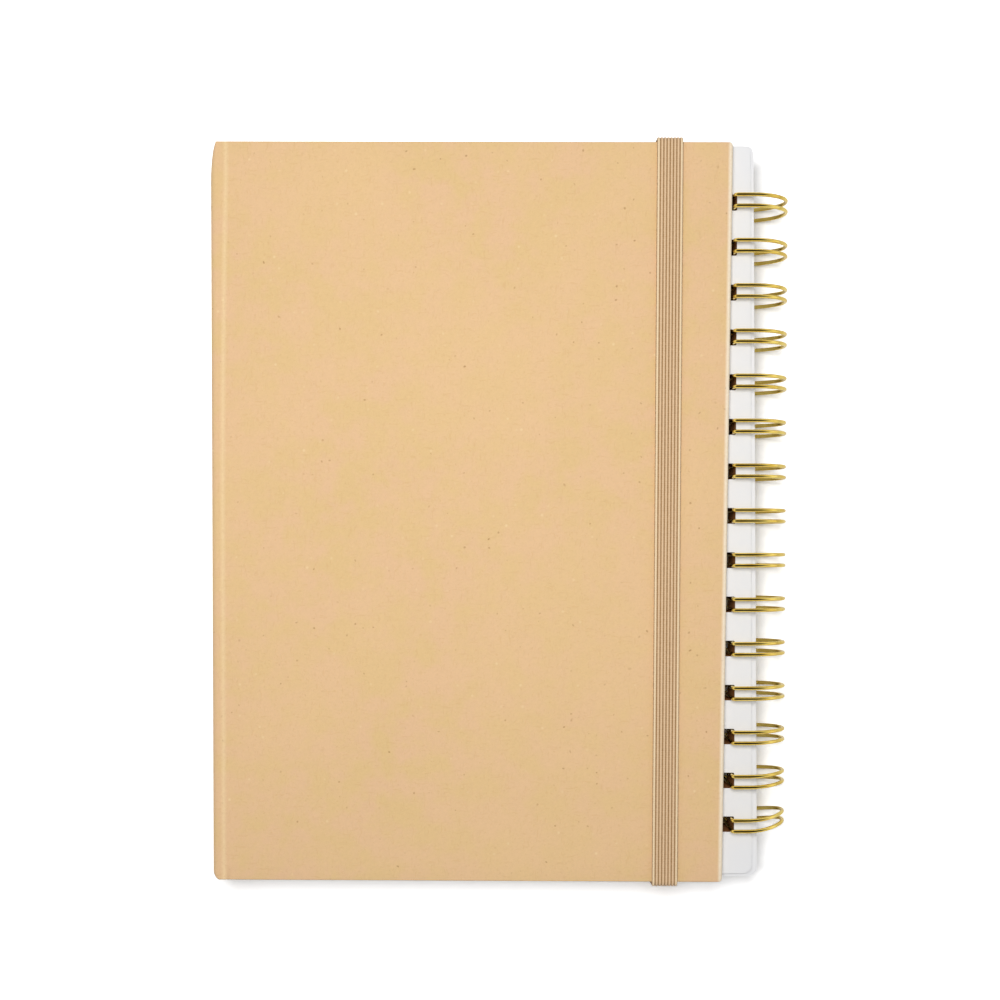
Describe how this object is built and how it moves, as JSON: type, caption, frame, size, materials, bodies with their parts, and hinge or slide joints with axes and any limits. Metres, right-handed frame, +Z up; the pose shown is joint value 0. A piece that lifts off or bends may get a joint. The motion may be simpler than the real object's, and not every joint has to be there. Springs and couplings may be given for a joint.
{
  "type": "spiral notebook",
  "caption": "Hardcover notebook bound with gilt twin-loop wire, in a kraft paper case with a rounded spine, held shut by a ribbed beige elastic band.",
  "frame": {"origin": "middle of the outside of the back cover, on which the closed notebook lies", "axes": "+X from the spine to the binding wire, +Y from foot to head, +Z up through the sheets to the front cover"},
  "size_m": [0.166, 0.2128, 0.0209],
  "materials": {
    "kraft_paper": "matte, flecked with fibres",
    "grey_board": "matte grey board",
    "lining_paper": "matte white",
    "page_paper": "matte white",
    "backing_card": "matte card",
    "gilt_wire": "bright gilt",
    "elastic": "ribbed knitted elastic"
  },
  "bodies": {
    "back_cover": {"back_board": "grey_board", "back_covering": "kraft_paper", "back_lining": "lining_paper", "backing_card": "backing_card", "page_block": "page_paper", "wire_binding": "gilt_wire", "elastic_band": "elastic"},
    "spine": {"spine_board": "grey_board", "spine_covering": "kraft_paper", "spine_lining": "lining_paper"},
    "front_cover": {"front_board": "grey_board", "front_covering": "kraft_paper", "front_lining": "lining_paper"}
  },
  "joints": [
    {"name": "spine_hinge", "type": "hinge", "parent": "back_cover", "child": "spine", "pos_m": [-0.07315, 0, 0], "axis": [0, -1, 0], "range_deg": [0, 90]},
    {"name": "cover_hinge", "type": "hinge", "parent": "spine", "child": "front_cover", "pos_m": [-0.07315, 0, 0.0196], "axis": [0, -1, 0], "range_deg": [0, 90], "deforming": ["elastic_band"]}
  ]
}
